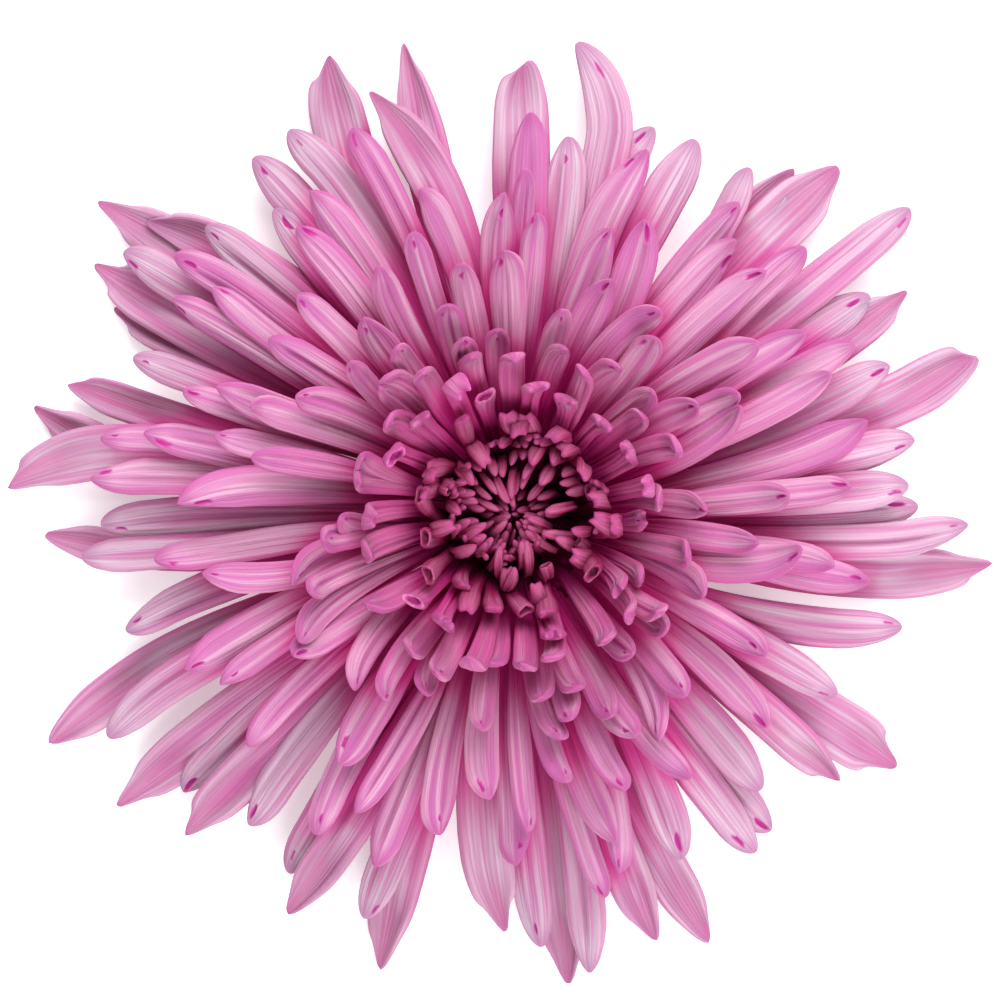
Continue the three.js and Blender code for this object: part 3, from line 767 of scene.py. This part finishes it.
middle = {
    # azimuth of the tip, reach, sideways swing, and breadth where it isn't the usual for that reach
    "florets": [
        (4.8, 41.5, 0), (4.5, 33.5, 1), (15, 45, 4, 4.8), (24, 42.5, 3), (26.5, 47, 0, 3.8),
        (32, 42, 0, 4.4), (35, 36.5, -7), (42.5, 49, 2), (44, 43, -2), (51, 43.5, -3, 4.8),
        (54.2, 47.5, -3, 3.6), (25.5, 30.5, 8, 4), (28, 31, -4), (31, 26, -5, 4), (41, 22.5, -6),
        (51.5, 27.5, 0, 4), (54, 30.5, -9), (66, 39.5, 4, 5), (71, 37, -5), (67.5, 31, -5, 4.2),
        (77, 25.5, -4, 3.6), (69.9, 48, -2.5, 5.4), (85.5, 36.8, 0, 3.4), (88, 42.5, -2, 3.4),
        (87.5, 50, 0, 5), (91.5, 39.5, -3), (92, 32, 0, 4.2), (94.5, 22.5, -3), (101.5, 31, 0, 3.9),
        (106, 41.5, 4), (109.5, 36.5, -2, 3.6), (107, 26.5, -4), (106, 22, 3), (118.5, 34.5, 0),
        (112.5, 52, 4, 3.8), (122, 47, 3), (127, 44, 1, 4.4), (127, 30, -2), (125, 24.5, 1),
        (134.5, 37.5, 0, 4), (136.5, 27, -3, 3), (134, 22.5, 4), (144, 36.8, 5), (143, 46.5, 0, 4),
        (142.5, 53, 2, 4.6), (147.5, 50, 1, 4), (151.5, 30, 7, 4.2), (157.5, 34.5, 6, 4.2),
        (156.5, 39.5, 4), (159.4, 43.2, 4, 3.4), (165, 37.8, 3, 3.2), (167.5, 32.5, 5, 3.2),
        (167.5, 46.5, 1), (169.5, 52, 3, 3.8), (175, 52.5, 3, 4.2), (178, 41, 6, 4.8), (187.2, 44.4, 3),
        (190.5, 38.5, -5, 3.6), (197, 28, 7, 4), (201, 26, 4, 3), (205, 44.5, 6, 4.6),
        (210, 41.5, 5, 3.4), (210.5, 30, 7, 3.8), (212.5, 31.5, -2), (221, 43, 4, 3.8),
        (227.5, 28.5, 9, 3.8), (235, 37, 5, 4.4), (234.5, 27, 4, 3), (238.5, 46, 4, 4.4),
        (242, 41, -4, 3.2), (244, 24, 3, 3.4), (248.5, 46.5, 0, 3.8), (257, 40, 4, 4.2),
        (261, 26, 4, 3.6), (265, 34.5, 3), (270.5, 42.8, 4, 4.2), (272.5, 38.5, 2, 3.2),
        (281, 32.8, 4, 3.4), (282, 27.5, 6, 3.6), (283.5, 48.5, 4, 3.6), (287.5, 42, 4, 4.3),
        (286.5, 45.8, -6, 4.2), (292, 36, 1, 3.4), (286, 25.5, -3), (296, 27, 4), (299, 30.5, 1, 3.6),
        (304, 38.5, 4, 3.6), (303, 32.5, -8, 3.8), (313.5, 30.2, -7), (320, 40.5, -5, 4.2),
        (331, 35, 0, 3.4), (337, 25, -7), (323.5, 23, -4, 3.4), (311, 22, 0, 3.4), (349.5, 44.5, -2, 4.6),
        (351, 39.5, 2, 4.2), (353.5, 35.2, 8, 4.8), (353.5, 29.8, -3, 3.6),
    ],
    "closing": (52, 12.5),  # the reach of a floret that lies open, and of one that still stands up
    "flareFrom": (0.84, 0.93),
    # From a floret that lies open to one that still stands up.
    "has": {
        "rootRadius": (9.5, 7.2), "rootHeight": (14.3, 15.7), "hook": (28, 52), "hookStart": (0.86, 0.62),
        "thickness": (2.1, 1.5), "mouthBack": 0.3, "phase": math.pi,
    },
    "spreads": {
        "phase": (37, 0.9), "roll": (8, 14), "twist": (18, 30), "mouthSide": (19, 0.62),
        "mouthBack": (20, 0.9), "mouthCurve": (48, 0.8), "creasePlace": (29, 0.5),
    },
    "draws": {"creaseDepth": 30, "seed": 21},
}
inner = {"count": 46, "reach": (22, 14.5), "firstDraw": 200}


def risenFloret(i, azimuth, reach, swing, breadth=None):
    # A floret above the outline ones: the shorter it is, the steeper it stands and the more its tip curls.
    opened, shut = middle["closing"]
    closed = min(max((opened - reach) / (opened - shut), 0), 1)
    lift = mix(-3, 66, closed ** 1.1) + spread(i, 3, mix(4, 2.5, closed))
    arch = mix(12, 5, closed)
    width = (breadth or mix(4.6, 3, closed ** 1.2)) * (1 + spread(i, 7, 0.08))
    flare = smooth(closed, *middle["flareFrom"])
    flared = flare > 0.5
    floret = fromTable(i, middle, closed)
    return floret | {
        "azimuth": azimuth,
        "reach": reach,
        "swing": swing,
        "rise": lift + arch,
        "fall": lift - arch,
        "hook": floret["hook"] + spread(i, 42, mix(8, 26, flare)),
        "width": width,
        "tipLength": width * mix(rayShape["quillTip"] + spread(i, 43, 0.3), rayShape["youngTip"], flare),
        "flare": flare,
        "trumpet": flared and draw(i, 46) < 0.15,
        "lobes": 1 + draw(i, 44) if flared else 0,
        "pointed": 0.8 * draw(i, 49) * (1 - flare),
        "lopsided": spread(i, 50, 0.35) * (1 - flare),
        "bend": spread(i, 28, 0.3) * width,
        "mouthSize": mouthSize(i + 100),
        "youth": 0.9 * closed ** 3.5,
    }


def innerFloret(k):
    i = k + inner["firstDraw"]
    reach = mix(*inner["reach"], k / inner["count"]) + spread(i, 5, 1.8)
    return risenFloret(i, k * goldenAngle + spread(i, 4, 4), reach, spread(i, 6, 8))


# Eye florets

# Each pair is for the very middle of the eye and for its edge.
eye = {
    "count": 90,
    "collar": (0.66, 0.96),  # shares of the way out between which the florets stop curling in
    "has": {
        "inEye": True, "length": (6, 14.5), "rootRadius": (0, 5.6), "rootHeight": (18, 17.2),
        "rise": (80, 42), "fall": (85, 62), "width": (0.85, 1.25), "thickness": (0.8, 1.05),
        "creaseDepth": 1.2,
    },
    "spreads": {"swing": (10, 18), "rise": (11, 5), "roll": (34, 20)},
    "draws": {"seed": 22},
}
# Thin florets that fill in between the others of the eye.
fineEye = {
    "count": 84, "out": (0.3, 0.98), "firstDraw": 400,
    "has": {
        **eye["has"],
        "length": (7.5, 14), "rise": (80, 44), "fall": (86, 64), "hook": 60, "hookStart": 0.5,
        "width": (0.9, 1.5), "thickness": 0.85, "flare": 0.7, "lobes": 0.5, "youth": 0.5,
    },
    "spreads": {
        "length": (9, 1.5), "swing": (10, 20), "rise": (11, 6), "hook": (32, 40), "roll": (34, 30),
        "phase": (35, 1.57),
    },
    "draws": {"seed": 22},
}


def eyeFloret(i):
    out = math.sqrt(1 - (i + 0.5) / eye["count"])
    collar = smooth(out, *eye["collar"])
    collared = collar > 0.45
    floret = fromTable(i, eye, out)
    width = floret["width"] + 1.6 * collar
    curl = mix(mix(40, 104, smooth(out, 0.1, 0.55)), 55, collar)
    return floret | {
        "azimuth": i * goldenAngle + spread(i, 31, 12),
        "length": floret["length"] + 2.5 * collar + spread(i, 9, 2.4),
        "hook": curl + spread(i, 32, mix(20, 34, collar)),
        "hookStart": mix(0.35, 0.6, collar),
        "width": width * (1 + spread(i, 33, 0.15)),
        "thickness": floret["thickness"] + 0.7 * collar,
        "tipLength": width * mix(1.4, 0.6, collar),
        "flare": mix(0.6, 1, collar),
        "trumpet": collared and draw(i, 46) < 0.4,
        "lobes": 1 + draw(i, 45) if collared else 0.5,
        "phase": math.pi + spread(i, 35, 0.9) if collared else spread(i, 35, 1.57),
        "bend": spread(i, 36, 0.25) * width,
        "youth": mix(mix(0.9, 0.4, smooth(out, 0.1, 0.5)), 0.25, collar),
    }


def fineFloret(k):
    i = k + fineEye["firstDraw"]
    floret = fromTable(i, fineEye, mix(*fineEye["out"], k * 0.618 % 1))
    return floret | {
        "azimuth": k * goldenAngle + spread(i, 31, 15),
        "tipLength": floret["width"] * 1.2,
        "bend": spread(i, 36, 0.3) * floret["width"],
    }


# The receptacle, and the green parts under the head

core = {
    "ring": [(0, 12.3), (11.4, 12.3), (12.4, 13.4), (12, 14.9), (11, 16.4), (9.6, 17.1), (7.8, 17.4),
             (6.8, 17.1), (6.4, 16.4), (0, 16.4)],
    "button": [(0, 16.7), (5.9, 16.7), (5.8, 17), (5.2, 17.6), (3.8, 18.2), (2, 18.5), (0, 18.6)],
    "sides": 64,
    "ends": 0.02,  # share of the map's height that each flat end has
}
green = {
    "stub": {"radius": 2.7, "bottom": 0.7, "top": 2.6, "bevel": 0.25},
    "cup": [(4.6, 3.6), (7.8, 5.6), (9.8, 8.4), (10.4, 12)],
    "cupTop": [(9.9, 12.0), (0, 12.0)],
    "cupRows": 24,
    # from and to are shares of the way up the cup, and turn is the azimuth of the first bract
    "bracts": [
        {"count": 8, "from": 0.08, "to": 0.6, "width": 5.4, "turn": 0, "proud": 0.75},
        {"count": 10, "from": 0.34, "to": 0.97, "width": 5, "turn": 13, "proud": 0.55},
        {"count": 14, "from": 0.5, "to": 0.99, "width": 4, "turn": 4, "proud": 0.3},
    ],
    "along": [*np.linspace(0, 0.85, 12), 0.9, 0.94, 0.97, 0.99, 1],
    "across": np.linspace(-1, 1, 9),
    "rootWidth": 0.6,
    "taper": (0.5, 1.8, 0.7),  # where a bract starts to narrow, and how round its end is
    "rib": (0.12, 0.16),  # height and half width
    "edge": 0.45,  # how far a bract's sides fall back toward the cup
    "thickness": (0.35, 0.12),  # in the middle and at the edge
    "tipThickness": (0.99, 0.5),  # from which share of the length, and how much of it is left
    "turnSpread": 3, "widthSpread": 0.1,
}


def turnedSurface(profile):
    # A profile that starts and ends on the stem's axis, turned about it. Each corner's map is (around, up).
    x, y = head["stemAxis"]
    sides, rows, ends = core["sides"], len(profile) - 2, core["ends"]
    angles = [2 * math.pi * k / sides for k in range(sides)]
    points = [(x + radius * math.cos(angle), y + radius * math.sin(angle), height)
              for radius, height in profile[1:-1] for angle in angles]
    points = [(x, y, profile[0][1]), *points, (x, y, profile[-1][1])]
    faces, maps = [], []

    def addFace(*corners):
        faces.append([point for point, _, _ in corners])
        maps.extend((around, up) for _, around, up in corners)

    for k in range(sides):
        left, right = k / sides, (k + 1) / sides
        after = 1 + (k + 1) % sides
        addFace((0, left, 0), (after, right, ends), (1 + k, left, ends))
        for i in range(rows - 1):
            low, high = (i + 1) / (rows + 1), (i + 2) / (rows + 1)
            below, above = i * sides, (i + 1) * sides
            addFace((below + 1 + k, left, low), (below + after, right, low),
                    (above + after, right, high), (above + 1 + k, left, high))
        below = (rows - 1) * sides
        addFace((below + 1 + k, left, 1 - ends), (below + after, right, 1 - ends), (len(points) - 1, left, 1))
    return points, faces, maps


def cupLine(count):
    # The outside of the cup: evenly spaced points on a smooth curve through its corners.
    corners = np.array([(green["stub"]["radius"], green["stub"]["top"]), *green["cup"]], float)
    ends = np.concatenate([[2 * corners[0] - corners[1]], corners, [2 * corners[-1] - corners[-2]]])
    fine = []
    for a, b, c, d in zip(ends, ends[1:], ends[2:], ends[3:]):
        for t in np.linspace(0, 1, 20, endpoint=False):
            fine.append(0.5 * (2 * b + (c - a) * t + (2 * a - 5 * b + 4 * c - d) * t ** 2
                               + (3 * b - a - 3 * c + d) * t ** 3))
    fine = np.array([*fine, corners[-1]])
    run = np.concatenate([[0], np.cumsum(np.linalg.norm(np.diff(fine, axis=0), axis=1))])
    share = np.linspace(0, run[-1], count)
    return np.stack([np.interp(share, run, fine[:, 0]), np.interp(share, run, fine[:, 1])], 1)


def bractPoints(row, k, line, heading):
    # The outer face of a bract, then its inner one.
    x, y = head["stemAxis"]
    azimuth = math.radians(
        row["turn"] + k * 360 / row["count"] + spread(k, 40 + row["count"], green["turnSpread"])
    )
    width = row["width"] * (1 + spread(k, 41 + row["count"], green["widthSpread"]))
    start, power, roundness = green["taper"]
    height, halfWidth = green["rib"]
    tipStart, left = green["tipThickness"]
    steps = range(len(line))
    points = []
    for inside in (False, True):
        for s in green["along"]:
            place = mix(row["from"], row["to"], s) * (len(line) - 1)
            at, way = ([np.interp(place, steps, table[:, j]) for j in (0, 1)] for table in (line, heading))
            narrowed = np.clip(1 - max(0, (s - start) / (1 - start)) ** power, 0, 1) ** roundness
            wide = mix(green["rootWidth"], 1, smooth(s, 0, 0.5)) * narrowed
            for share in green["across"]:
                rib = height * math.exp(-(share / halfWidth) ** 2)
                proud = row["proud"] + rib - green["edge"] * share * share
                if inside:
                    proud -= mix(*green["thickness"], abs(share)) * (1 if s < tipStart else left)
                radius, side = at[0] + way[1] * proud, share * width / 2 * wide
                points.append((
                    x + radius * math.cos(azimuth) - side * math.sin(azimuth),
                    y + radius * math.sin(azimuth) + side * math.cos(azimuth),
                    at[1] - way[0] * proud,
                ))
    return points


def bractSurface():
    line = cupLine(200)
    heading = unit(np.gradient(line, axis=0))
    points, faces, shares = [], [], []
    rows, columns = len(green["along"]), len(green["across"])

    def addFace(start, corners, turned=False):
        corners = corners[::-1] if turned else corners
        shares.extend((0.5 + green["across"][j] / 2, green["along"][i]) for _, i, j in corners)
        faces.append([start + (layer * rows + i) * columns + j for layer, i, j in corners])

    for row in green["bracts"]:
        for k in range(row["count"]):
            start = len(points)
            points += bractPoints(row, k, line, heading)
            for i in range(rows - 1):
                for j in range(columns - 1):
                    addFace(start, [(0, i, j), (0, i, j + 1), (0, i + 1, j + 1), (0, i + 1, j)])
                    addFace(start, [(1, i, j), (1, i + 1, j), (1, i + 1, j + 1), (1, i, j + 1)])
                for j in (0, columns - 1):
                    addFace(start, [(0, i, j), (0, i + 1, j), (1, i + 1, j), (1, i, j)], j > 0)
            for i in (0, rows - 1):
                for j in range(columns - 1):
                    addFace(start, [(0, i, j), (0, i, j + 1), (1, i, j + 1), (1, i, j)], i == 0)
    return points, faces, shares


# Looks

petalLook = {
    "tone": {
        "Base": (0.67, 0.43, 0.48), "Body": (0.57, 0.20, 0.405), "Tip": (0.50, 0.15, 0.395),
        "End": (0.40, 0.09, 0.27), "Pale": (0.69, 0.46, 0.58), "Line": (0.44, 0.085, 0.27),
        "Inside": (0.40, 0.09, 0.25), "Deep and shade": (0.52, 0.026, 0.21), "Mouth": (0.46, 0.03, 0.26),
        # How much painted shade falls underneath and along the sides; Shadow is the darkest colour of the
        # painted shade.
        "Shadow": (0.42, 0.008, 0.14), "Contrast": 1.0, "Underneath shade": 0.25, "Side shade": 0.15,
    },
    "relief": 0.42,
    "shader": {
        "Subsurface Weight": 0.32, "Subsurface Radius": (1.0, 0.3, 0.55), "Subsurface Scale": 0.0015,
        "Specular IOR Level": 0.17,
    },
}
outerLook = {
    **petalLook,
    "tone": {
        **petalLook["tone"],
        "Tip": (0.52, 0.40, 0.50), "End": (0.41, 0.17, 0.33), "Pale": (0.65, 0.52, 0.61),
        "Deep and shade": (0.53, 0.05, 0.25), "Shadow": (0.46, 0.02, 0.19),
    },
}
# The eye is dark: its near-black Base is painted shade deep among the florets, and its dark Body is partly
# the florets' own crimson and partly painted shade.
eyeLook = {
    "tone": {
        "Base": (0.09, 0.001, 0.02), "Body": (0.27, 0.005, 0.068), "Tip": (0.50, 0.125, 0.27),
        "End": (0.45, 0.06, 0.23), "Pale": (0.53, 0.18, 0.32), "Line": (0.27, 0.005, 0.07),
        "Inside": (0.22, 0.003, 0.06), "Deep and shade": (0.22, 0.002, 0.055), "Mouth": (0.14, 0.002, 0.035),
        "Shadow": (0.05, 0.0004, 0.012), "Contrast": 0.8, "Underneath shade": 0.0, "Side shade": 0.7,
    },
    "relief": 0.3,
    "shader": {**petalLook["shader"], "Subsurface Scale": 0.0005},
}
# The receptacle's near-black magenta is painted shade, as it lies deep under and among the florets; its scars
# are its own.
coreLook = {
    "deep": (0.05, 0.0004, 0.012), "pale": (0.13, 0.002, 0.035),
    "scars": (900.0, (0.1, 0.6)),  # scale, and the distances between which they deepen
    "relief": (0.5, 0.3),
    "shader": {"Roughness": 0.8, "Specular IOR Level": 0.02},
}
greenLook = {
    "streaks": (4.0, 0.6, (0.3, 0.7)),  # detail, roughness, and the heights between which they deepen
    "light": (0.20, 0.27, 0.07), "deep": (0.16, 0.22, 0.06), "relief": (0.35, 0.3),
    "shader": {
        "Roughness": 0.55, "Specular IOR Level": 0.35, "Subsurface Weight": 0.15,
        "Subsurface Radius": (0.5, 0.9, 0.3), "Subsurface Scale": 0.0006,
    },
}
# Scales of the streaks round and up the part, ribs, what it pales to, and where.
cupLook = {"scales": (26.0, 6.0), "ribs": 28.0, "pale": (0.42, 0.44, 0.24), "steps": [(0.1, 0.16, 0.9, 0.0)]}
bractLook = {
    "scales": (9.0, 3.0), "ribs": 9.0, "pale": (0.42, 0.45, 0.2),
    "steps": [(0.36, 0.48, 0.0, 0.85), (0.0, 0.06, 0.5, 0.0)],
}


def coreMaterial():
    material, tree, shader = newMaterial("receptacle")
    scale, between = coreLook["scars"]
    place = addNode(tree, "TexCoord", {})["Object"]
    distance = addNode(tree, "TexVoronoi", {"Vector": place, "Scale": scale})["Distance"]
    colour = mixColours(tree, smoothNode(tree, distance, *between), coreLook["pale"], coreLook["deep"])
    normal = relief(tree, distance, *coreLook["relief"])
    feed(tree, shader, {"Base Color": colour, "Normal": normal, **coreLook["shader"]})
    return material


def greenMaterial(name, look):
    # Ribs run up the part. A bract is paler along its edges and its rib, and the stub at its cut end.
    material, tree, shader = newMaterial(name)
    across, up, _ = mapParts(tree, "green")
    detail, roughness, between = greenLook["streaks"]
    streak = stretchedNoise(tree, across, up, look["scales"], detail, roughness)
    colour = mixColours(tree, smoothNode(tree, streak, *between), greenLook["light"], greenLook["deep"])
    place = awayFrom(tree, across, 0.5) if name == "bractSkin" else up
    for step in look["steps"]:
        colour = mixColours(tree, smoothNode(tree, place, *step), colour, look["pale"])
    wave = mathNode(tree, "SINE", times(tree, across, look["ribs"] * 2 * math.pi))
    normal = relief(tree, plus(tree, wave, streak), *greenLook["relief"])
    feed(tree, shader, {"Base Color": colour, "Normal": normal, **greenLook["shader"]})
    return material


veins = buildPetalVeins()
tone = buildPetalTone(veins)
raySkin = petalMaterial("raySkin", tone, petalLook)
outerSkin = petalMaterial("outerSkin", tone, outerLook)
eyeSkin = petalMaterial("eyeSkin", tone, eyeLook)
coreSkin = coreMaterial()

risen = [risenFloret(i, *given) for i, given in enumerate(middle["florets"])]
half = len(risen) // 2
floretSets = {
    "outline_florets": [outlineFloret(i, *given) for i, given in enumerate(outline["florets"])],
    "middle_florets_a": risen[:half],
    "middle_florets_b": risen[half:],
    "inner_florets": [innerFloret(k) for k in range(inner["count"])],
    "eye_florets": [eyeFloret(i) for i in range(eye["count"])],
    "fine_eye_florets": [fineFloret(k) for k in range(fineEye["count"])],
}
grownSets = {name: [floretPoints(floret) for floret in florets] for name, florets in floretSets.items()}
crown = crownOf([grown for grownSet in grownSets.values() for grown in grownSet])
pieces = []
for name, grownSet in grownSets.items():
    inEye = name.endswith("eye_florets")
    skin = eyeSkin if inEye else outerSkin if name == "outline_florets" else raySkin
    piece = sewFlorets(name, grownSet, crown, skin)
    pieces.append((piece, *(("centre_florets", "eye_petal") if inEye else ("ray_florets", "ray_petal"))))
print("florets made")

for name, node, slot in (("ring", "ray_florets", "ray_petal"), ("button", "centre_florets", "eye_petal")):
    points, faces, around = turnedSurface(core[name])
    pieces.append((makePiece(name, points, faces, {"green": around}, coreSkin), node, slot))

stub = green["stub"]
profile = [
    (0, stub["bottom"]),
    (stub["radius"] - stub["bevel"], stub["bottom"]),
    (stub["radius"], stub["bottom"] + stub["bevel"]),
    *cupLine(green["cupRows"]).tolist(),
    *green["cupTop"],
]
for name, (points, faces, shares), skin in (
    ("cup_and_stub", turnedSurface(profile), greenMaterial("cupSkin", cupLook)),
    ("bracts", bractSurface(), greenMaterial("bractSkin", bractLook)),
):
    piece = makePiece(name, points, faces, {"green": shares}, skin)
    pieces.append((piece, "stem_and_bracts", "green_tissue"))
print("receptacle, cup and bracts made")

for piece, node, slot in pieces:
    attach(piece, "root")
    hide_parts(node)
print("pieces in place")


# Stage, light and camera

studio = {
    "floorHalf": 4.0,
    "floor": {
        "Base Color": (0.92, 0.92, 0.92), "Roughness": 0.8, "Specular IOR Level": 0.1,
        "Emission Color": (1, 1, 1),
        "Emission Strength": 0.34,  # keeps the florets' shadows on the floor faint
    },
    # Place in metres, and power.
    "lights": {"key": ((0.18, 0.74, 0.95), 17.5), "fill": ((0.26, -0.74, 0.95), 12.5)},
    "lightSize": 0.9, "aim": (0, 0, 0.01),
    "world": {"Color": (1, 1, 1), "Strength": 0.4},
    "cameraHeight": 0.8,
    "cameraOver": (0.6, 1.27),  # the point under the camera
    "clipStart": 0.05,
    "framePlane": 6,  # height at which the frame is frameWidth across
    "frameWidth": 125.25,
}


def buildStudio():
    half = studio["floorHalf"]
    mesh = bpy.data.meshes.new("floor")
    corners = [(-half, -half, 0), (half, -half, 0), (half, half, 0), (-half, half, 0)]
    mesh.from_pydata(corners, [], [(0, 1, 2, 3)])
    material, tree, shader = newMaterial("paleFloor")
    feed(tree, shader, studio["floor"])
    mesh.materials.append(material)
    floor = placeObject("floor", mesh)
    for name, (place, power) in studio["lights"].items():
        light = bpy.data.lights.new(name, "AREA")
        light.energy = power
        light.size = studio["lightSize"]
        lamp = placeObject(name, light, place)
        lamp.rotation_euler = (Vector(studio["aim"]) - Vector(place)).to_track_quat("-Z", "Y").to_euler()
    scene = bpy.context.scene
    scene.view_settings.view_transform = "Standard"
    scene.world = bpy.data.worlds.new("studio")
    scene.world.use_nodes = True
    tree = scene.world.node_tree
    feed(tree, tree.nodes["Background"], studio["world"])
    camera = bpy.data.cameras.new("camera")
    height, (x, y) = studio["cameraHeight"], studio["cameraOver"]
    camera.lens = camera.sensor_width * (height - studio["framePlane"] * mm) / (studio["frameWidth"] * mm)
    camera.clip_start = studio["clipStart"]
    scene.camera = placeObject("camera", camera, (x * mm, y * mm, height))


buildStudio()
print("studio in place")
